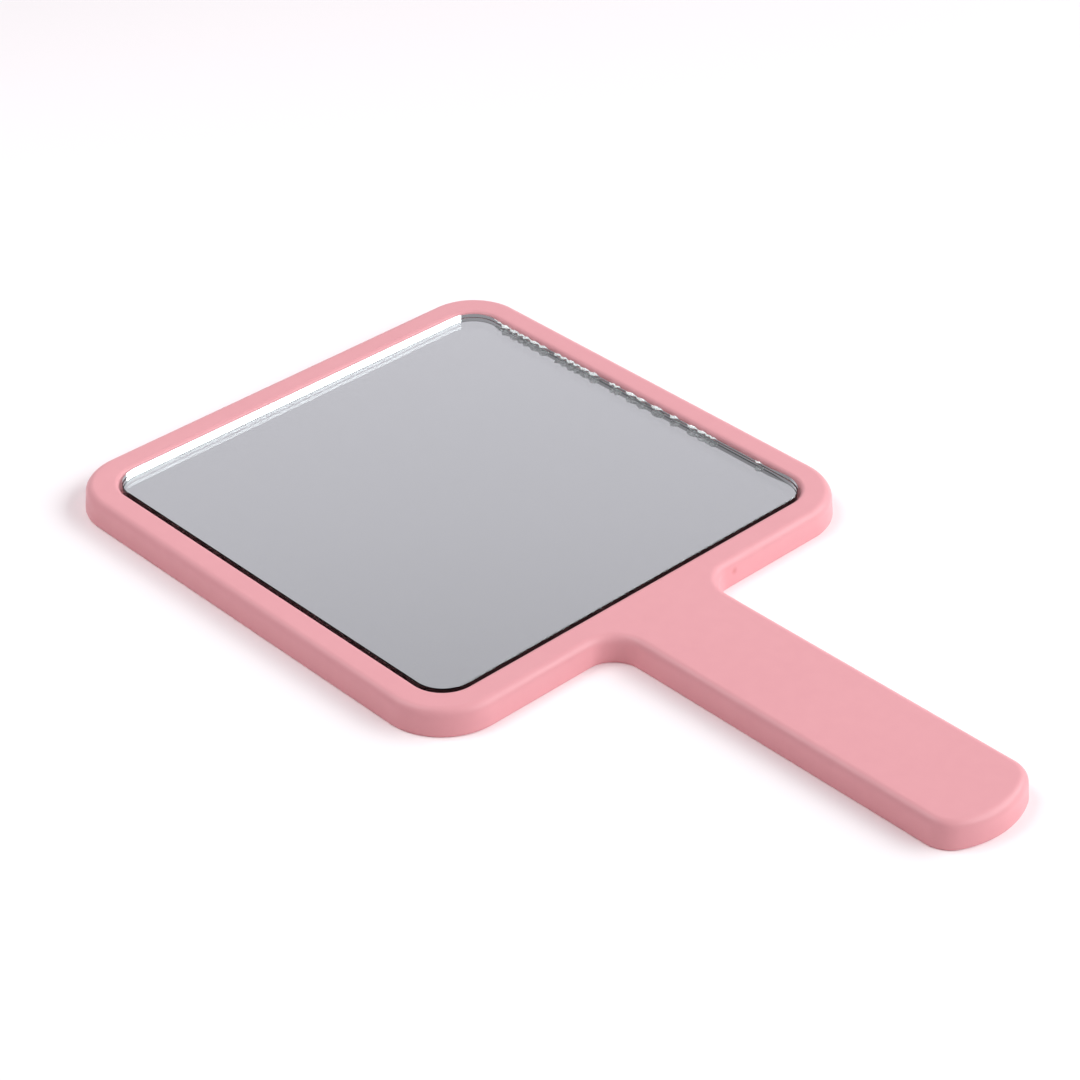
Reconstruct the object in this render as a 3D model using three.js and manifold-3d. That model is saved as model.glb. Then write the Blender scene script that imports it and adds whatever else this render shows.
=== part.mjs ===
// Hand mirror: a square framed mirror on a flat paddle handle.
// Millimetres, +Z up. The mirror lies on its back: +Z points out of the glass and +Y runs from the
// handle to the far edge of the head. The origin is the middle of the outline, on the back face.
import * as THREE from 'three';
import { mergeVertices } from 'three/addons/utils/BufferGeometryUtils.js';
import Module from 'manifold-3d';

const wasm = await Module();
wasm.setup();

// ---- driving dimensions -------------------------------------------------------------------------
// Outline of the moulding, measured at its widest, just above the back face.
const HEAD_SIZE = 150;             // the head is square
const HEAD_TOP_CORNER = 16.4;      // corner radius away from the handle
const HEAD_LOW_CORNER = 17.8;      // corner radius beside the handle
const HANDLE_WIDTH = 32.8;
const HANDLE_LENGTH = 110.2;       // from the head's edge to the handle's tip
const HANDLE_TIP_RADIUS = 25.7;    // the shallow bow across the tip
const HANDLE_TIP_CORNER = 8.2;     // where the sides turn into the bow
const ROOT_FILLET = 8;             // inside corners between head and handle

// Section of the moulding.
const THICKNESS = 7.4;
const DRAFT = 0.65;                // how far the side walls lean in on the way to the front
const FRONT_ROUND = 2.2;           // rounding of the front edge
const BACK_ROUND = 0.5;            // rounding of the back edge

// Mirror and its pocket. Margins are measured inward from the outline.
const POCKET_MARGIN = 8.7;
const POCKET_CORNER = 9.2;
const LIP_ROUND = 1.3;             // the frame's inner edge, rolled down towards the glass
const GLASS_RECESS = 0.4;          // the glass lies this far below the frame's front face
const GLASS_THICKNESS = 3;
const GLASS_GAP = 0.7;             // between the glass and the pocket wall, were it centred
const GLASS_SHIFT = 0.4;           // the glass lies this far towards +X and +Y in its pocket
const FRONT_ARRIS = 0.15;          // the glass's sharp edges are just broken
const BACK_ARRIS = 0.1;
const COATING = 0.1;               // nominal thickness of the silver and of the paint behind it
const COATING_MARGIN = 0.1;        // the coatings stop this far inside the glass's back face
const TAPE_THICKNESS = 0.8;
const TAPE_WIDTH = 12;
const LONG_TAPE = 112;             // the strips above and below
const SHORT_TAPE = 80;             // the strips left and right
const TAPE_OFFSET = 52;            // from the middle of the mirror to the middle of a strip
const CONTACT = 0.02;              // hairline left between bonded layers

// Moulding inside, and the cover that closes it from behind.
const COVER_THICKNESS = 1.5;
const COVER_MARGIN = 2.5;
const COVER_EDGE = 0.25;           // softened edge of the cover's outer face
const FIT_GAP = 0.3;               // round the cover, under the ledge and round the pins
const LEDGE_WIDTH = 1.2;
const SKIN = 1.8;                  // front wall over the hollow places
const POCKET_WALL = 1.4;
const RIB = 1.2;
const HANDLE_RIBS = 5;
const CHANNEL_RIBS = 4;            // on each side of the head
const BOSS_DIAMETER = 5;
const PIN_DIAMETER = 2;
const PIN_LENGTH = 3.2;

// ---- places worked out from them ----------------------------------------------------------------
const TOTAL_LENGTH = HEAD_SIZE + HANDLE_LENGTH;
const HEAD_TOP = TOTAL_LENGTH / 2;
const HEAD_LOW = HEAD_TOP - HEAD_SIZE;
const TIP = -TOTAL_LENGTH / 2;
const HEAD_MIDDLE = (HEAD_TOP + HEAD_LOW) / 2;

const GLASS_FRONT = THICKNESS - GLASS_RECESS;
const GLASS_BACK = GLASS_FRONT - GLASS_THICKNESS;
const PAINT_BACK = GLASS_BACK - 2 * COATING;
const POCKET_FLOOR = PAINT_BACK - TAPE_THICKNESS;
const GLASS_MARGIN = POCKET_MARGIN + GLASS_GAP;
const GLASS_CORNER = POCKET_CORNER - GLASS_GAP;

const LEDGE = COVER_THICKNESS + FIT_GAP;
const BELOW_LEDGE = LEDGE / 2;      // cuts and ribs start here, and the cover's recess clears the rest
const RECESS_MARGIN = COVER_MARGIN - FIT_GAP;
const HOLLOW_MARGIN = RECESS_MARGIN + LEDGE_WIDTH;
const HOLLOW_TOP = THICKNESS - SKIN;
const TUB_MARGIN = POCKET_MARGIN - POCKET_WALL;
const CHANNEL_MIDDLE = (HOLLOW_MARGIN + TUB_MARGIN) / 2;

// Arc steps: enough for a clean faceted solid.
const CORNER_STEPS = 10;
const FILLET_STEPS = 8;
const TIP_STEPS = 14;
const EDGE_STEPS = 6;
const ROUND_STEPS = 20;

// ---- outlines -----------------------------------------------------------------------------------
function arc(x, y, radius, fromDegrees, toDegrees, steps) {
  const from = THREE.MathUtils.degToRad(fromDegrees);
  const to = THREE.MathUtils.degToRad(toDegrees);
  const clockwise = to < from;
  return new THREE.EllipseCurve(x, y, radius, radius, from, to, clockwise).getPoints(steps);
}

// The whole outline, anticlockwise, moved inward by inset. Every inset gives the same number of points.
function bodyOutline(inset) {
  const half = HEAD_SIZE / 2;
  const handleHalf = HANDLE_WIDTH / 2;
  const cornerX = handleHalf - HANDLE_TIP_CORNER;
  const bowY = TIP + HANDLE_TIP_RADIUS;
  const cornerY = bowY - Math.sqrt((HANDLE_TIP_RADIUS - HANDLE_TIP_CORNER) ** 2 - cornerX ** 2);
  const turn = THREE.MathUtils.radToDeg(Math.atan2(bowY - cornerY, cornerX));

  const tipCorner = arc(cornerX, cornerY, HANDLE_TIP_CORNER - inset, -turn, 0, FILLET_STEPS);
  const root = arc(handleHalf + ROOT_FILLET, HEAD_LOW - ROOT_FILLET, ROOT_FILLET + inset, 180, 90,
    FILLET_STEPS);
  const lowCorner = arc(half - HEAD_LOW_CORNER, HEAD_LOW + HEAD_LOW_CORNER, HEAD_LOW_CORNER - inset,
    -90, 0, CORNER_STEPS);
  const topCorner = arc(half - HEAD_TOP_CORNER, HEAD_TOP - HEAD_TOP_CORNER, HEAD_TOP_CORNER - inset,
    0, 90, CORNER_STEPS);

  const right = [...tipCorner, ...root, ...lowCorner, ...topCorner];
  const left = right.map((p) => new THREE.Vector2(-p.x, p.y)).reverse();
  const bow = arc(0, bowY, HANDLE_TIP_RADIUS - inset, turn - 180, -turn, TIP_STEPS).slice(1, -1);
  return [...right, ...left, ...bow];
}

// A rounded square round the middle of the head, moved inward by inset.
function squareOutline(margin, corner, inset = 0) {
  const centre = HEAD_SIZE / 2 - margin - corner;
  const quarter = (x, y, from) => arc(x, HEAD_MIDDLE + y, corner - inset, from, from + 90, CORNER_STEPS);
  return [
    ...quarter(centre, -centre, -90),
    ...quarter(centre, centre, 0),
    ...quarter(-centre, centre, 90),
    ...quarter(-centre, -centre, 180),
  ];
}

// ---- solids -------------------------------------------------------------------------------------
// Skins a closed solid over levels { inset, z } of one outline, from the lowest to the highest.
function loft(outline, levels) {
  const rings = levels.map(({ inset }) => outline(inset));
  const count = rings[0].length;
  const positions = [];
  rings.forEach((ring, level) => {
    ring.forEach((p) => positions.push(p.x, p.y, levels[level].z));
  });

  const index = [];
  for (let level = 0; level < rings.length - 1; level += 1) {
    for (let i = 0; i < count; i += 1) {
      const next = (i + 1) % count;
      const a = level * count + i;
      const b = level * count + next;
      const c = a + count;
      const d = b + count;
      index.push(a, b, d, a, d, c);
    }
  }
  const last = (rings.length - 1) * count;
  THREE.ShapeUtils.triangulateShape(rings[0], []).forEach(([a, b, c]) => index.push(a, c, b));
  THREE.ShapeUtils.triangulateShape(rings.at(-1), [])
    .forEach(([a, b, c]) => index.push(last + a, last + b, last + c));

  const geometry = new THREE.BufferGeometry();
  geometry.setAttribute('position', new THREE.Float32BufferAttribute(positions, 3));
  geometry.setIndex(index);
  return geometry;
}

function prism(outline, bottom, top) {
  return loft(outline, [{ inset: 0, z: bottom }, { inset: 0, z: top }]);
}

function block(x, y, width, length, bottom, top) {
  return new THREE.BoxGeometry(width, length, top - bottom).translate(x, y, (top + bottom) / 2);
}

function post({ x, y }, diameter, bottom, top) {
  return new THREE.CylinderGeometry(diameter / 2, diameter / 2, top - bottom, ROUND_STEPS)
    .rotateX(Math.PI / 2)
    .translate(x, y, (top + bottom) / 2);
}

// ---- booleans -----------------------------------------------------------------------------------
function toSolid(geometry) {
  const bare = geometry.clone();
  bare.deleteAttribute('normal');
  bare.deleteAttribute('uv');
  const merged = mergeVertices(bare, 1e-5);
  return new wasm.Manifold(new wasm.Mesh({
    numProp: 3,
    vertProperties: merged.attributes.position.array,
    triVerts: merged.index.array,
  }));
}

function union(geometries) {
  return geometries.map(toSolid).reduce((all, solid) => all.add(solid));
}

function toGeometry(solid) {
  const { vertProperties, triVerts } = solid.getMesh();
  const geometry = new THREE.BufferGeometry();
  geometry.setAttribute('position', new THREE.BufferAttribute(new Float32Array(vertProperties), 3));
  geometry.setIndex(new THREE.BufferAttribute(new Uint32Array(triVerts), 1));
  geometry.computeVertexNormals();
  return geometry;
}

// ---- shared places ------------------------------------------------------------------------------
// One boss in each corner of the head's channel and two down the handle take the cover's pins.
function pinPlaces() {
  const half = HEAD_SIZE / 2;
  const diagonal = Math.SQRT1_2;
  const topReach = half - HEAD_TOP_CORNER + (HEAD_TOP_CORNER - CHANNEL_MIDDLE) * diagonal;
  const lowReach = half - HEAD_LOW_CORNER + (HEAD_LOW_CORNER - CHANNEL_MIDDLE) * diagonal;
  const corners = [-1, 1].flatMap((side) => [
    { x: side * topReach, y: HEAD_MIDDLE + topReach },
    { x: side * lowReach, y: HEAD_MIDDLE - lowReach },
  ]);
  const handle = [0.2, 0.8].map((share) => ({ x: 0, y: HEAD_LOW - share * HANDLE_LENGTH }));
  return [...corners, ...handle];
}

// ---- sub-parts ----------------------------------------------------------------------------------
function outerSkin() {
  const lean = (z) => (DRAFT * Math.max(z - BACK_ROUND, 0)) / (THICKNESS - BACK_ROUND);
  const levels = [];
  for (let step = 0; step <= EDGE_STEPS / 2; step += 1) {
    const angle = (step / (EDGE_STEPS / 2)) * (Math.PI / 2);
    const z = BACK_ROUND * (1 - Math.cos(angle));
    levels.push({ inset: BACK_ROUND * (1 - Math.sin(angle)) + lean(z), z });
  }
  for (let step = 0; step <= EDGE_STEPS; step += 1) {
    const angle = (step / EDGE_STEPS) * (Math.PI / 2);
    const z = THICKNESS - FRONT_ROUND * (1 - Math.sin(angle));
    levels.push({ inset: FRONT_ROUND * (1 - Math.cos(angle)) + lean(z), z });
  }
  return loft(bodyOutline, levels);
}

// The space that the mirror drops into, with the flared mouth that leaves the rolled lip.
function pocketSpace() {
  const levels = [{ inset: 0, z: POCKET_FLOOR }];
  for (let step = 0; step <= EDGE_STEPS; step += 1) {
    const angle = (step / EDGE_STEPS) * (Math.PI / 2);
    levels.push({
      inset: -LIP_ROUND * (1 - Math.cos(angle)),
      z: THICKNESS - LIP_ROUND * (1 - Math.sin(angle)),
    });
  }
  levels.push({ inset: -LIP_ROUND, z: THICKNESS + 1 });
  return loft((inset) => squareOutline(POCKET_MARGIN, POCKET_CORNER, inset), levels);
}

// Cross ribs and one long rib stiffen the handle, and short ribs cross the channel round the head.
function ribs() {
  const across = HANDLE_WIDTH;
  const list = [block(0, HEAD_LOW - HANDLE_LENGTH / 2, RIB, HANDLE_LENGTH, BELOW_LEDGE,
    THICKNESS - 1)];
  for (let i = 0; i < HANDLE_RIBS; i += 1) {
    const y = HEAD_LOW - ((i + 0.5) / HANDLE_RIBS) * HANDLE_LENGTH;
    list.push(block(0, y, across, RIB, BELOW_LEDGE, THICKNESS - 1));
  }
  const reach = HEAD_SIZE / 2 - CHANNEL_MIDDLE;
  const span = HEAD_SIZE - 2 * HEAD_LOW_CORNER;
  const length = TUB_MARGIN;
  for (let i = 0; i < CHANNEL_RIBS; i += 1) {
    const along = ((i + 0.5) / CHANNEL_RIBS - 0.5) * span;
    [-1, 1].forEach((side) => {
      list.push(block(side * reach, HEAD_MIDDLE + along, length, RIB, BELOW_LEDGE, THICKNESS - 1));
      list.push(block(along, HEAD_MIDDLE + side * reach, RIB, length, BELOW_LEDGE, THICKNESS - 1));
    });
  }
  return list;
}

function frontBody() {
  const tub = prism((inset) => squareOutline(TUB_MARGIN, POCKET_CORNER + POCKET_WALL, inset),
    BELOW_LEDGE, THICKNESS - 1);
  const bosses = pinPlaces().map((place) => post(place, BOSS_DIAMETER, BELOW_LEDGE, THICKNESS - 1));
  const sockets = pinPlaces().map((place) => post(place, PIN_DIAMETER + 2 * FIT_GAP, BELOW_LEDGE,
    COVER_THICKNESS + PIN_LENGTH + FIT_GAP));

  const hollow = toSolid(prism((inset) => bodyOutline(HOLLOW_MARGIN + inset), BELOW_LEDGE, HOLLOW_TOP))
    .subtract(union([tub, ...ribs(), ...bosses]));
  const coverRecess = toSolid(prism((inset) => bodyOutline(RECESS_MARGIN + inset), -1, LEDGE));

  return toGeometry(toSolid(outerSkin())
    .subtract(toSolid(pocketSpace()))
    .subtract(coverRecess)
    .subtract(hollow)
    .subtract(union(sockets)));
}

function backCover() {
  const plate = loft(bodyOutline, [
    { inset: COVER_MARGIN + COVER_EDGE, z: 0 },
    { inset: COVER_MARGIN, z: COVER_EDGE },
    { inset: COVER_MARGIN, z: COVER_THICKNESS },
  ]);
  const pins = pinPlaces().map((place) => post(place, PIN_DIAMETER, COVER_THICKNESS / 2,
    COVER_THICKNESS + PIN_LENGTH));
  return toGeometry(union([plate, ...pins]));
}

// The line of glue between the cover's edge and the ledge.
function glueLine() {
  const shape = new THREE.Shape(bodyOutline(COVER_MARGIN + 0.1));
  shape.holes.push(new THREE.Path(bodyOutline(HOLLOW_MARGIN - 0.1)));
  const depth = FIT_GAP - 2 * CONTACT;
  return new THREE.ExtrudeGeometry(shape, { depth, bevelEnabled: false, steps: 1 })
    .translate(0, 0, COVER_THICKNESS + CONTACT);
}

function mirrorGlass() {
  return loft((inset) => squareOutline(GLASS_MARGIN, GLASS_CORNER, inset), [
    { inset: BACK_ARRIS, z: GLASS_BACK },
    { inset: 0, z: GLASS_BACK + BACK_ARRIS },
    { inset: 0, z: GLASS_FRONT - FRONT_ARRIS },
    { inset: FRONT_ARRIS, z: GLASS_FRONT },
  ]);
}

// A coating on the glass's back face: layer 0 is the silver and layer 1 the paint that protects it.
function coating(layer) {
  const top = GLASS_BACK - layer * COATING - CONTACT;
  const inset = BACK_ARRIS + COATING_MARGIN;
  return prism(() => squareOutline(GLASS_MARGIN, GLASS_CORNER, inset), top - COATING + CONTACT, top);
}

// Double-sided foam tape holds the mirror: two long strips across it and two short ones between them.
function tapeStrip({ x, y, width, length }) {
  return block(x, HEAD_MIDDLE + y, width, length, POCKET_FLOOR + CONTACT, PAINT_BACK - CONTACT);
}

const TAPE_STRIPS = {
  tape_strip_top: { x: 0, y: TAPE_OFFSET, width: LONG_TAPE, length: TAPE_WIDTH },
  tape_strip_bottom: { x: 0, y: -TAPE_OFFSET, width: LONG_TAPE, length: TAPE_WIDTH },
  tape_strip_left: { x: -TAPE_OFFSET, y: 0, width: TAPE_WIDTH, length: SHORT_TAPE },
  tape_strip_right: { x: TAPE_OFFSET, y: 0, width: TAPE_WIDTH, length: SHORT_TAPE },
};

// ---- materials ----------------------------------------------------------------------------------
const pinkPlastic = () => new THREE.MeshStandardMaterial({ color: 0xe9a4ab, roughness: 0.5 });
const clearGlass = () => new THREE.MeshStandardMaterial({
  color: 0xdfe8e4, roughness: 0.02, transparent: true, opacity: 0.3,
});
const silver = () => new THREE.MeshStandardMaterial({ color: 0xe6e7ea, roughness: 0.03, metalness: 1 });
const greyPaint = () => new THREE.MeshStandardMaterial({ color: 0x5b5f66, roughness: 0.6 });
const whiteFoam = () => new THREE.MeshStandardMaterial({ color: 0xe9e7e0, roughness: 0.9 });
const clearGlue = () => new THREE.MeshStandardMaterial({ color: 0xd9cdb8, roughness: 0.35 });

// ---- assembly -----------------------------------------------------------------------------------
const handMirror = new THREE.Group();

const plate = new THREE.Group();
plate.position.set(GLASS_SHIFT, GLASS_SHIFT, 0);
handMirror.add(plate);

function add(group, name, geometry, material) {
  const mesh = new THREE.Mesh(geometry, material);
  mesh.name = name;
  group.add(mesh);
}

add(handMirror, 'front_body', frontBody(), pinkPlastic());
add(handMirror, 'back_cover', backCover(), pinkPlastic());
add(handMirror, 'cover_glue_line', glueLine(), clearGlue());
add(plate, 'mirror_glass', mirrorGlass(), clearGlass());
add(plate, 'silver_coating', coating(0), silver());
add(plate, 'backing_paint', coating(1), greyPaint());
Object.entries(TAPE_STRIPS).forEach(([name, place]) => {
  add(handMirror, name, tapeStrip(place), whiteFoam());
});

export default handMirror;
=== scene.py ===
"""Hand mirror: the looks of a square salon hand mirror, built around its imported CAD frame."""

import math
import random

import bpy
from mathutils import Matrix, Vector
from mathutils.geometry import tessellate_polygon


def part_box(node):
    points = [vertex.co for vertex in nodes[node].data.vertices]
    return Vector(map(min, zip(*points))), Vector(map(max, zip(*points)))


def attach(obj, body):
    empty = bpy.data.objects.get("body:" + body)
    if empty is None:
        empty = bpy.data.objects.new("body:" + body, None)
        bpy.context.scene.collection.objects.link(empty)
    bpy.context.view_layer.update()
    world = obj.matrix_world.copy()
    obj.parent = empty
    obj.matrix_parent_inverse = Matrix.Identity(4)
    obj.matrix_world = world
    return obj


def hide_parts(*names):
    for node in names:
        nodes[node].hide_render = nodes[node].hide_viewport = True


MM = 0.001

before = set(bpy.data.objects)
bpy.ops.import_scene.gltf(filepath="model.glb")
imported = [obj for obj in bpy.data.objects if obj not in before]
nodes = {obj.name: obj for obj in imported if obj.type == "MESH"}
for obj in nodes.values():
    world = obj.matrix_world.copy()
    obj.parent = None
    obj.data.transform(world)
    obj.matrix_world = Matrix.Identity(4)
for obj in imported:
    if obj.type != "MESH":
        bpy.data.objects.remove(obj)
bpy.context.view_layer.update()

# ---- sizes read from the frame -------------------------------------------------------------------
body_low, body_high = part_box("front_body")
glass_low, glass_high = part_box("mirror_glass")

HEAD_SIZE = body_high.x - body_low.x
THICKNESS = body_high.z
HEAD_TOP = body_high.y
HEAD_LOW = HEAD_TOP - HEAD_SIZE
HEAD_MIDDLE = (HEAD_TOP + HEAD_LOW) / 2
TIP = body_low.y

# ---- sizes shared with the CAD model, in metres --------------------------------------------------
HEAD_TOP_CORNER = 16.4 * MM
HEAD_LOW_CORNER = 17.8 * MM
HANDLE_WIDTH = 32.8 * MM
HANDLE_TIP_RADIUS = 25.7 * MM
HANDLE_TIP_CORNER = 8.2 * MM
ROOT_FILLET = 8 * MM
DRAFT = 0.65 * MM                # how far the side walls lean in on the way to the front
FRONT_ROUND = 2.2 * MM
BACK_ROUND = 0.5 * MM
POCKET_MARGIN = 8.7 * MM
POCKET_CORNER = 9.2 * MM
POCKET_FLOOR = 3 * MM
LIP_ROUND = 1.3 * MM
GLASS_CORNER = 8.5 * MM
FRONT_ARRIS = 0.15 * MM
BACK_ARRIS = 0.1 * MM
LEDGE = 1.8 * MM
RECESS_MARGIN = 2.2 * MM
COVER_MARGIN = 2.5 * MM
COVER_THICKNESS = 1.5 * MM
COVER_EDGE = 0.25 * MM

# ---- the worn side of the glass ------------------------------------------------------------------
EDGE_GRIND = 0.8 * MM            # how far in the ground front edge goes along the right side
CHIP_STEP = 0.45 * MM
CHIP_REACH = 1.3 * MM            # how far past the ground edge the longest chip goes
CHIP_DEPTH = 0.55                # what a chip takes off the ground edge's depth, as a share of its reach
CHIP_RUN = (3, 9)                # steps in one run, chipped or whole
CHIP_SIZES = (0.5, 1.0)          # share of the full reach that a chip may have
CHIP_SHARE_NEAR = 0.1            # share of the runs that are chipped, at the handle end
CHIP_SHARE_FAR = 1.05            # and at the far end
END_FADE = 12                    # steps over which the wear fades in from each corner
BROKEN_SLOPE = 1.3               # a cut this many times wider than deep shows a broken surface
WEAR_SEED = 7
SIDE_LENGTH = glass_high.y - glass_low.y - 2 * GLASS_CORNER

# ---- fineness of the meshes ----------------------------------------------------------------------
CORNER_STEPS = 28
FILLET_STEPS = 20
TIP_STEPS = 30
ROUND_STEPS = 10
COVER_EDGE_STEPS = 6
EASE = 0.3 * MM                  # flat strip beside a rounding, which keeps its shading clean

# ---- camera --------------------------------------------------------------------------------------
CAMERA_AZIMUTH = math.radians(-43.44)
CAMERA_ELEVATION = math.radians(34.43)
CAMERA_ROLL = math.radians(-0.21)
CAMERA_DISTANCE = 0.7797
CAMERA_LENS = 101.3
SENSOR = 36
CLIP_START = 0.01
CAMERA_TARGET = Vector((-0.0026, HEAD_LOW + 0.0413, THICKNESS))


def direction(azimuth, elevation):
    """The unit vector that points from the object back to a viewer at these angles."""
    return Vector((
        math.sin(azimuth) * math.cos(elevation),
        -math.cos(azimuth) * math.cos(elevation),
        math.sin(elevation),
    ))


def make_camera():
    data = bpy.data.cameras.new("camera")
    data.lens = CAMERA_LENS
    data.sensor_width = SENSOR
    data.clip_start = CLIP_START
    camera = bpy.data.objects.new("camera", data)
    bpy.context.scene.collection.objects.link(camera)
    back = direction(CAMERA_AZIMUTH, CAMERA_ELEVATION)
    camera.location = CAMERA_TARGET + back * CAMERA_DISTANCE
    turn = back.to_track_quat("Z", "Y").to_matrix().to_4x4()
    camera.rotation_euler = turn.to_euler()
    camera.rotation_euler.rotate_axis("Z", CAMERA_ROLL)
    bpy.context.scene.camera = camera


make_camera()


# ---- outlines ------------------------------------------------------------------------------------
def arc(x, y, radius, start, end, steps):
    """Points on an arc, with its angles in degrees."""
    points = []
    for step in range(steps + 1):
        angle = math.radians(start + (end - start) * step / steps)
        points.append((x + radius * math.cos(angle), y + radius * math.sin(angle)))
    return points


def body_outline(inset):
    """The whole outline, anticlockwise, moved inward by inset."""
    half = HEAD_SIZE / 2
    handle_half = HANDLE_WIDTH / 2
    corner_x = handle_half - HANDLE_TIP_CORNER
    bow_y = TIP + HANDLE_TIP_RADIUS
    corner_y = bow_y - math.sqrt((HANDLE_TIP_RADIUS - HANDLE_TIP_CORNER) ** 2 - corner_x ** 2)
    turn = math.degrees(math.atan2(bow_y - corner_y, corner_x))
    right = (
        arc(corner_x, corner_y, HANDLE_TIP_CORNER - inset, -turn, 0, FILLET_STEPS)
        + arc(handle_half + ROOT_FILLET, HEAD_LOW - ROOT_FILLET, ROOT_FILLET + inset, 180, 90,
              FILLET_STEPS)
        + arc(half - HEAD_LOW_CORNER, HEAD_LOW + HEAD_LOW_CORNER, HEAD_LOW_CORNER - inset, -90, 0,
              CORNER_STEPS)
        + arc(half - HEAD_TOP_CORNER, HEAD_TOP - HEAD_TOP_CORNER, HEAD_TOP_CORNER - inset, 0, 90,
              CORNER_STEPS)
    )
    left = [(-x, y) for x, y in reversed(right)]
    bow = arc(0, bow_y, HANDLE_TIP_RADIUS - inset, turn - 180, -turn, TIP_STEPS)[1:-1]
    return right + left + bow


def square_outline(margin, corner, inset=0.0):
    """A rounded square round the middle of the head, anticlockwise, moved inward by inset."""
    centre = HEAD_SIZE / 2 - margin - corner
    points = []
    for x, y, start in ((1, -1, -90), (1, 1, 0), (-1, 1, 90), (-1, -1, 180)):
        points += arc(centre * x, HEAD_MIDDLE + centre * y, corner - inset, start, start + 90,
                      CORNER_STEPS)
    return points


def pocket_outline(inset):
    return square_outline(POCKET_MARGIN, POCKET_CORNER, inset)


# ---- mesh building -------------------------------------------------------------------------------
class Builder:
    """Collects rings of points and the faces between them, and turns them into one mesh object."""

    def __init__(self):
        self.vertices = []
        self.faces = []
        self.slots = []

    def points(self, places):
        first = len(self.vertices)
        self.vertices += places
        return list(range(first, len(self.vertices)))

    def ring(self, outline, z):
        return self.points([(x, y, z) for x, y in outline])

    def face(self, corners, slot=0):
        self.faces.append(tuple(corners))
        self.slots.append(slot)

    def skin(self, lower, upper, slots=None):
        """Quads between two rings, facing outward when the upper ring is above the lower one."""
        count = len(lower)
        for i in range(count):
            j = (i + 1) % count
            self.face((lower[i], lower[j], upper[j], upper[i]), slots[i] if slots else 0)

    def tower(self, outline, levels):
        """Skins a list of (inset, z) levels and returns the first and the last ring."""
        rings = [self.ring(outline(inset), z) for inset, z in levels]
        for lower, upper in zip(rings, rings[1:]):
            self.skin(lower, upper)
        return rings[0], rings[-1]

    def cap(self, ring, hole=None, up=True):
        """Closes a flat ring, round a hole if there is one."""
        loops = [ring] + ([list(reversed(hole))] if hole else [])
        flat = [index for loop in loops for index in loop]
        corners = [[Vector(self.vertices[index]) for index in loop] for loop in loops]
        for triangle in tessellate_polygon(corners):
            a, b, c = (flat[i] for i in triangle)
            pa, pb, pc = (Vector(self.vertices[index]) for index in (a, b, c))
            faces_up = (pb - pa).cross(pc - pa).z > 0
            self.face((a, b, c) if faces_up == up else (a, c, b))

    def finish(self, name, materials, smooth=True):
        mesh = bpy.data.meshes.new(name)
        mesh.from_pydata(self.vertices, [], self.faces)
        for material in materials:
            mesh.materials.append(material)
        for polygon, slot in zip(mesh.polygons, self.slots):
            polygon.material_index = slot
            polygon.use_smooth = smooth
        mesh.update()
        piece = bpy.data.objects.new(name, mesh)
        bpy.context.scene.collection.objects.link(piece)
        return piece


def rounding(radius, steps=ROUND_STEPS):
    """Pairs (across, along) of a quarter round, from its wall end to its face end."""
    pairs = []
    for step in range(steps + 1):
        angle = math.pi / 2 * step / steps
        pairs.append((radius * (1 - math.cos(angle)), radius * math.sin(angle)))
    return pairs


# ---- material helpers ----------------------------------------------------------------------------
class Nodes:
    """A small wrapper that makes and links shader nodes."""

    def __init__(self, name):
        self.material = bpy.data.materials.new(name)
        self.material.use_nodes = True
        self.tree = self.material.node_tree
        self.shader = self.tree.nodes["Principled BSDF"]
        self.place = self.add("ShaderNodeTexCoord").outputs["Object"]

    def add(self, kind, **settings):
        node = self.tree.nodes.new(kind)
        for key, value in settings.items():
            setattr(node, key, value)
        return node

    def link(self, source, target):
        self.tree.links.new(source, target)

    def set(self, **values):
        """Sets uniform values on the shader; an underscore in a name stands for a space."""
        for name, value in values.items():
            self.shader.inputs[name.replace("_", " ")].default_value = value

    def noise(self, size, detail=2.0):
        """Noise with features about size metres across."""
        node = self.add("ShaderNodeTexNoise")
        self.link(self.place, node.inputs["Vector"])
        node.inputs["Scale"].default_value = 1 / size
        node.inputs["Detail"].default_value = detail
        return node.outputs["Fac"]

    def spread(self, value, low, high, start=0.3, end=0.7):
        """Maps start to low and end to high, and holds the value outside them."""
        node = self.add("ShaderNodeMapRange")
        self.link(value, node.inputs["Value"])
        node.inputs["From Min"].default_value = start
        node.inputs["From Max"].default_value = end
        node.inputs["To Min"].default_value = low
        node.inputs["To Max"].default_value = high
        return node.outputs["Result"]

    def fill(self, sockets, values):
        """Links each value that is a socket, and sets each that is a number or a colour."""
        for socket, value in zip(sockets, values):
            if isinstance(value, (int, float, tuple)):
                socket.default_value = value
            else:
                self.link(value, socket)

    def math(self, operation, first, second):
        node = self.add("ShaderNodeMath", operation=operation)
        self.fill(node.inputs, (first, second))
        return node.outputs["Value"]

    def mix(self, factor, first, second):
        """Mixes two colours. Sockets 0, 6 and 7 are the node's factor and its two colours."""
        node = self.add("ShaderNodeMix", data_type="RGBA")
        self.fill((node.inputs[0], node.inputs[6], node.inputs[7]), (factor, first, second))
        return node.outputs[2]

    def spot(self, centre, radius, softness):
        """1 inside a ball round centre, falling to 0 over softness."""
        node = self.add("ShaderNodeVectorMath", operation="DISTANCE")
        self.link(self.place, node.inputs[0])
        node.inputs[1].default_value = centre
        return self.spread(node.outputs["Value"], 1.0, 0.0, radius, radius + softness)

    def bump(self, height, distance, strength=1.0, under=None):
        node = self.add("ShaderNodeBump")
        node.inputs["Strength"].default_value = strength
        node.inputs["Distance"].default_value = distance
        self.link(height, node.inputs["Height"])
        if under is not None:
            self.link(under, node.inputs["Normal"])
        return node.outputs["Normal"]


def rgb(red, green, blue):
    return (red, green, blue, 1.0)


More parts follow.
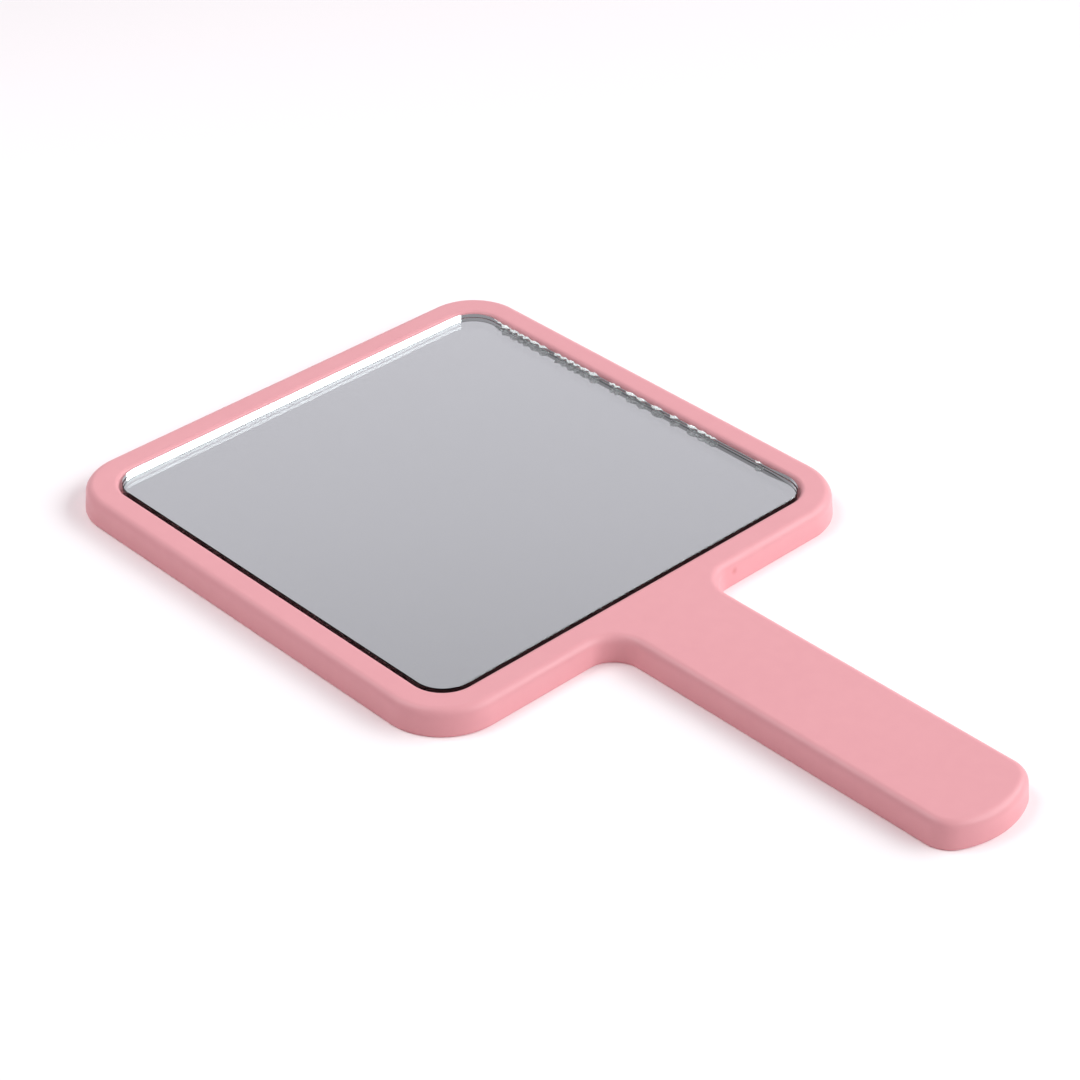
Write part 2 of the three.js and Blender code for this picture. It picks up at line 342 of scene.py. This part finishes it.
# ---- materials -----------------------------------------------------------------------------------
PINK_DARK = rgb(0.785, 0.332, 0.362)
PINK_LIGHT = rgb(0.815, 0.352, 0.382)
MARK_COLOR = rgb(0.72, 0.26, 0.27)
PLASTIC_IOR = 1.45
PLASTIC_SPECULAR = 0.3
GATE_MARK = (26.7 * MM, HEAD_LOW + 0.3 * MM, THICKNESS - 3.2 * MM)
MARK_RADIUS = 0.2 * MM
MARK_SOFTNESS = 1.1 * MM
MARK_DEPTH = 0.06 * MM
CLOUD_SIZE = 0.045
MOTTLE_SIZE = 0.004
CLOUD_SHARE = 0.5
MOTTLE_SHARE = 0.35
GRAIN_SIZE = 0.00022
GRAIN_DEPTH = 0.012 * MM
GRAIN_STRENGTH = 0.6
GRAIN_GLOSS = 0.3                # how much the grain varies the roughness
GLOSS_SIZE = 0.012
PLASTIC_ROUGHNESS = (0.30, 0.42)
GLOSS_SPAN = (0.35, 0.95)        # noise values that give the least and the most roughness
WAVE_SIZE = 0.02
WAVE_DEPTH = 0.10 * MM
WAVE_STRENGTH = 0.35

GLASS_COLOR = rgb(0.985, 0.995, 0.99)
GLASS_IOR = 1.52
CHIP_TRANSMISSION = 0.45
CHIP_ROUGHNESS = (0.15, 0.45)
CHIP_MOTTLE = 0.0004
CHIP_GRAIN = 0.0005
CHIP_RELIEF = 0.05 * MM
SILVER_COLOR = rgb(0.93, 0.93, 0.945)


def pink_plastic():
    """Satin moulded plastic: a fine etched grain, faint flow clouds and a small gate mark on one wall."""
    n = Nodes("pink_plastic")
    clouds = n.spread(n.noise(CLOUD_SIZE, detail=3), -CLOUD_SHARE, CLOUD_SHARE)
    mottle = n.spread(n.noise(MOTTLE_SIZE), -MOTTLE_SHARE, MOTTLE_SHARE)
    limit = CLOUD_SHARE + MOTTLE_SHARE
    tone = n.spread(n.math("ADD", clouds, mottle), 0.0, 1.0, -limit, limit)
    mark = n.spot(GATE_MARK, MARK_RADIUS, MARK_SOFTNESS)
    color = n.mix(mark, n.mix(tone, PINK_DARK, PINK_LIGHT), MARK_COLOR)
    n.link(color, n.shader.inputs["Base Color"])

    grain = n.noise(GRAIN_SIZE)
    gloss = n.math("ADD", n.noise(GLOSS_SIZE), n.math("MULTIPLY", grain, GRAIN_GLOSS))
    n.link(n.spread(gloss, *PLASTIC_ROUGHNESS, *GLOSS_SPAN), n.shader.inputs["Roughness"])

    etched = n.bump(grain, GRAIN_DEPTH, GRAIN_STRENGTH)
    waves = n.bump(n.noise(WAVE_SIZE, detail=1), WAVE_DEPTH, WAVE_STRENGTH, etched)
    dimple = n.bump(n.math("MULTIPLY", mark, -1.0), MARK_DEPTH, under=waves)
    n.link(dimple, n.shader.inputs["Normal"])
    n.set(IOR=PLASTIC_IOR, Specular_IOR_Level=PLASTIC_SPECULAR)
    return n.material


def clear_glass():
    n = Nodes("clear_glass")
    n.set(Base_Color=GLASS_COLOR, Transmission_Weight=1.0, IOR=GLASS_IOR, Roughness=0.0)
    return n.material


def chipped_glass():
    """The dull, whitish break of a chip."""
    n = Nodes("chipped_glass")
    n.set(Base_Color=rgb(1, 1, 1), Transmission_Weight=CHIP_TRANSMISSION, IOR=GLASS_IOR)
    n.link(n.spread(n.noise(CHIP_MOTTLE), *CHIP_ROUGHNESS), n.shader.inputs["Roughness"])
    n.link(n.bump(n.noise(CHIP_GRAIN), CHIP_RELIEF), n.shader.inputs["Normal"])
    return n.material


def silver_mirror():
    n = Nodes("silver_mirror")
    n.set(Base_Color=SILVER_COLOR, Metallic=1.0, Roughness=0.0)
    return n.material


def plain(name, low, high, size, roughness, grain=0.02 * MM):
    """A simple grained surface for the pieces inside."""
    n = Nodes(name)
    tone = n.spread(n.noise(size, detail=3), 0.0, 1.0)
    n.link(n.mix(tone, low, high), n.shader.inputs["Base Color"])
    n.set(Roughness=roughness)
    n.link(n.bump(n.noise(size / 4), grain), n.shader.inputs["Normal"])
    return n.material


pink = pink_plastic()
glass = clear_glass()
broken_glass = chipped_glass()
silver = silver_mirror()
paint = plain("grey_paint", rgb(0.11, 0.12, 0.14), rgb(0.15, 0.16, 0.18), 0.003, 0.6)
foam = plain("white_foam", rgb(0.74, 0.73, 0.69), rgb(0.82, 0.81, 0.77), 0.0006, 0.9, 0.08 * MM)
glue = plain("clear_cement", rgb(0.60, 0.50, 0.38), rgb(0.75, 0.66, 0.54), 0.002, 0.3)


# ---- pieces --------------------------------------------------------------------------------------
RECESS_EDGE = ((0, 0.15), (0.05, 0.04), (0.15, 0), (0.3, 0))   # (outward, height) in mm
BACK_FLAT = 0.15 * MM
LIP_EASE = 0.2 * MM
POCKET_FOOT = 0.2 * MM
COVER_BEVEL = 0.1 * MM


def lean(z):
    return DRAFT * max(z - BACK_ROUND, 0) / (THICKNESS - BACK_ROUND)


def wall_levels():
    """(inset, z) from the recess behind, round the back edge and up the wall to the front face."""
    wall_top = THICKNESS - FRONT_ROUND
    levels = [(RECESS_MARGIN, LEDGE)]
    levels += [(RECESS_MARGIN - outward * MM, height * MM) for outward, height in RECESS_EDGE]
    levels.append((BACK_ROUND + BACK_FLAT, 0))
    levels += [(BACK_ROUND - along, across) for across, along in rounding(BACK_ROUND)]
    levels += [(lean(z), z) for z in (BACK_ROUND * 2, wall_top - EASE)]
    levels += [(across + lean(wall_top + along), wall_top + along)
               for across, along in rounding(FRONT_ROUND)]
    levels.append((FRONT_ROUND + DRAFT + EASE, THICKNESS))
    return levels


def pocket_levels():
    """(inset, z) from the front face over the rolled lip and down to the pocket's floor."""
    levels = [(-LIP_ROUND - LIP_EASE, THICKNESS)]
    levels += [(-across, THICKNESS - LIP_ROUND + along)
               for across, along in reversed(rounding(LIP_ROUND))]
    levels += [(0, THICKNESS - LIP_ROUND - LIP_EASE), (0, POCKET_FLOOR + POCKET_FOOT),
               (POCKET_FOOT, POCKET_FLOOR), (2 * POCKET_FOOT, POCKET_FLOOR)]
    return levels


def front_body():
    """The moulding's outside: rounded walls, face, rolled lip, pocket and the recess behind."""
    b = Builder()
    under, face = b.tower(body_outline, wall_levels())
    b.cap(under, up=False)
    rim, floor = b.tower(pocket_outline, pocket_levels())
    b.cap(face, hole=rim)
    b.cap(floor)
    return b.finish("front_moulding", [pink])


def back_cover():
    b = Builder()
    levels = [(COVER_MARGIN + COVER_EDGE + EASE, 0)]
    levels += [(COVER_MARGIN + COVER_EDGE - along, across)
               for across, along in rounding(COVER_EDGE, COVER_EDGE_STEPS)]
    levels += [(COVER_MARGIN, COVER_THICKNESS - COVER_BEVEL), (COVER_MARGIN + COVER_BEVEL, COVER_THICKNESS),
               (COVER_MARGIN + EASE, COVER_THICKNESS)]
    under, top = b.tower(body_outline, levels)
    b.cap(under, up=False)
    b.cap(top)
    return b.finish("back_plate", [pink])


def worn_side():
    """How far in and how far down the right side's front edge is cut away, at each step along it."""
    random.seed(WEAR_SEED)
    steps = round(SIDE_LENGTH / CHIP_STEP)
    cuts = []
    while len(cuts) < steps:
        along = len(cuts) / steps
        run = random.randint(*CHIP_RUN)
        chipped = random.random() < CHIP_SHARE_NEAR + (CHIP_SHARE_FAR - CHIP_SHARE_NEAR) * along
        for i in range(run):
            swell = math.sin(math.pi * (i + 0.5) / run)
            chip = swell * random.uniform(*CHIP_SIZES) * CHIP_REACH if chipped else 0
            fade = min(1, len(cuts) / END_FADE, (steps - len(cuts)) / END_FADE)
            grind = FRONT_ARRIS + (EDGE_GRIND - FRONT_ARRIS) * fade
            cuts.append((grind + chip * fade, grind - CHIP_DEPTH * chip * fade))
    return cuts[:steps]


def mirror_plate():
    """The glass: polished edges, broken corners, and a ground and chipped front edge on the right side."""
    b = Builder()
    half = (glass_high.x - glass_low.x) / 2
    shift_x = (glass_high.x + glass_low.x) / 2
    shift_y = (glass_high.y + glass_low.y) / 2 - HEAD_MIDDLE
    low, high = glass_low.z, glass_high.z
    cuts = worn_side()
    first = CORNER_STEPS + 1     # where the right side's points come in a ring
    start = HEAD_MIDDLE - half + GLASS_CORNER

    def ring(inset, z, cut=None):
        """A rounded square at one height; its right side has a point for each step of worn_side()."""
        corners = square_outline(HEAD_SIZE / 2 - half, GLASS_CORNER, inset)
        points = [(x, y, z) for x, y in corners]
        side = []
        for i, (across, down) in enumerate(cuts):
            y = start + SIDE_LENGTH * (i + 0.5) / len(cuts)
            x = half - (across if cut == "top" else inset)
            side.append((x, y, high - down if cut == "wall" else z))
        points = points[:first] + side + points[first:]
        return b.points([(x + shift_x, y + shift_y, z) for x, y, z in points])

    back = ring(BACK_ARRIS, low)
    wall_low = ring(0, low + BACK_ARRIS)
    wall_high = ring(0, high - FRONT_ARRIS, "wall")
    front = ring(FRONT_ARRIS, high, "top")
    broken = {first + i for i, (across, down) in enumerate(cuts) if across > BROKEN_SLOPE * down}
    count = len(front)
    slots = [1 if i in broken or (i + 1) % count in broken else 0 for i in range(count)]
    b.skin(back, wall_low)
    b.skin(wall_low, wall_high)
    b.skin(wall_high, front, slots)
    b.cap(back, up=False)
    b.cap(front)
    return b.finish("glass_plate", [glass, broken_glass], smooth=False)


def place(piece, node):
    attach(piece, "root")
    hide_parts(node)


place(front_body(), "front_body")
place(back_cover(), "back_cover")
place(mirror_plate(), "mirror_glass")

for node_name, material in {
    "silver_coating": silver,
    "backing_paint": paint,
    "cover_glue_line": glue,
    "tape_strip_top": foam,
    "tape_strip_bottom": foam,
    "tape_strip_left": foam,
    "tape_strip_right": foam,
}.items():
    nodes[node_name].data.materials.clear()
    nodes[node_name].data.materials.append(material)


# ---- stage and light -----------------------------------------------------------------------------
FLOOR_HALF = 15
FLOOR_DROP = 0.05 * MM           # keeps the floor clear of the object's back face
FLOOR_COLOR = rgb(0.96, 0.90, 0.91)
FLOOR_ROUGHNESS = 0.9
FLOOR_SPECULAR = 0.1
GLOW_RADIUS = 1.0                # the floor's glow is faint and reddish within this distance
GLOW_FADE = 2.0                  # and grows to plain white over this much more
GLOW_NEAR = 0.08
GLOW_FAR = 0.8
GLOW_NEAR_COLOR = rgb(1, 0.3, 0.35)

LAMP_COLOR = (0.9, 1, 1)

SKY_LOW = 0.62                   # brightness at the horizon and below it
SKY_STOPS = [(0.50, 0.635), (0.56, 0.55), (0.62, 0.44), (0.75, 0.25)]   # (sine of elevation, brightness)
SKY_TINT = (0.985, 0.965, 1.03)
LIGHT_WALL = (0.69, 0.73, 0)     # towards the light walls, level
WALL_SPAN = (0.1, 0.65)          # how far a view must face the light walls to start and to end the change
WALL_LEVELS = (0.45, 1.0)


def make_floor():
    b = Builder()
    corners = b.ring([(-FLOOR_HALF, -FLOOR_HALF), (FLOOR_HALF, -FLOOR_HALF),
                      (FLOOR_HALF, FLOOR_HALF), (-FLOOR_HALF, FLOOR_HALF)], 0)
    b.face(corners)
    n = Nodes("floor")
    n.set(Base_Color=FLOOR_COLOR, Roughness=FLOOR_ROUGHNESS, Specular_IOR_Level=FLOOR_SPECULAR)
    near = n.spot((0, 0, 0), GLOW_RADIUS, GLOW_FADE)
    n.link(n.spread(near, GLOW_FAR, GLOW_NEAR, 0, 1), n.shader.inputs["Emission Strength"])
    n.link(n.mix(near, rgb(1, 1, 1), GLOW_NEAR_COLOR), n.shader.inputs["Emission Color"])
    floor = b.finish("floor", [n.material])
    floor.location.z = -FLOOR_DROP


def softbox(name, azimuth, elevation, distance, width, height, power):
    """A rectangular lamp that faces the object, with its angles in degrees and its power in watts."""
    data = bpy.data.lights.new(name, "AREA")
    data.shape = "RECTANGLE"
    data.size = width
    data.size_y = height
    data.energy = power
    data.color = LAMP_COLOR
    lamp = bpy.data.objects.new(name, data)
    bpy.context.scene.collection.objects.link(lamp)
    back = direction(math.radians(azimuth), math.radians(elevation))
    lamp.location = back * distance
    lamp.rotation_euler = back.to_track_quat("Z", "Y").to_euler()


def make_sky():
    """A studio room: light walls behind the object, a darker ceiling, and dim walls on the camera's side."""
    world = bpy.data.worlds.new("studio")
    bpy.context.scene.world = world
    world.use_nodes = True
    tree = world.node_tree
    background = tree.nodes["Background"]
    view = tree.nodes.new("ShaderNodeTexCoord")
    split = tree.nodes.new("ShaderNodeSeparateXYZ")
    tree.links.new(view.outputs["Generated"], split.inputs[0])

    height = tree.nodes.new("ShaderNodeValToRGB")
    tree.links.new(split.outputs["Z"], height.inputs["Fac"])
    elements = height.color_ramp.elements
    elements[0].position = 0
    elements[0].color = rgb(SKY_LOW, SKY_LOW, SKY_LOW)
    position, level = SKY_STOPS[0]
    elements[1].position = position
    elements[1].color = rgb(level, level, level)
    for position, level in SKY_STOPS[1:]:
        elements.new(position).color = rgb(level, level, level)

    facing = tree.nodes.new("ShaderNodeVectorMath")
    facing.operation = "DOT_PRODUCT"
    tree.links.new(view.outputs["Generated"], facing.inputs[0])
    facing.inputs[1].default_value = LIGHT_WALL
    depth = tree.nodes.new("ShaderNodeMapRange")
    tree.links.new(facing.outputs["Value"], depth.inputs["Value"])
    depth.inputs["From Min"].default_value = WALL_SPAN[0]
    depth.inputs["From Max"].default_value = WALL_SPAN[1]
    depth.inputs["To Min"].default_value = WALL_LEVELS[0]
    depth.inputs["To Max"].default_value = WALL_LEVELS[1]
    scale = tree.nodes.new("ShaderNodeVectorMath")
    scale.operation = "SCALE"
    tree.links.new(height.outputs["Color"], scale.inputs[0])
    tree.links.new(depth.outputs["Result"], scale.inputs["Scale"])
    tint = tree.nodes.new("ShaderNodeVectorMath")
    tint.operation = "MULTIPLY"
    tree.links.new(scale.outputs[0], tint.inputs[0])
    tint.inputs[1].default_value = SKY_TINT
    tree.links.new(tint.outputs[0], background.inputs["Color"])
    background.inputs["Strength"].default_value = 1.0


make_floor()
make_sky()
softbox("key", azimuth=44, elevation=36, distance=1.6, width=1.9, height=1.0, power=31)
softbox("overhead", azimuth=-138, elevation=60, distance=0.8, width=0.45, height=0.45, power=3)

bpy.context.scene.view_settings.view_transform = "Standard"
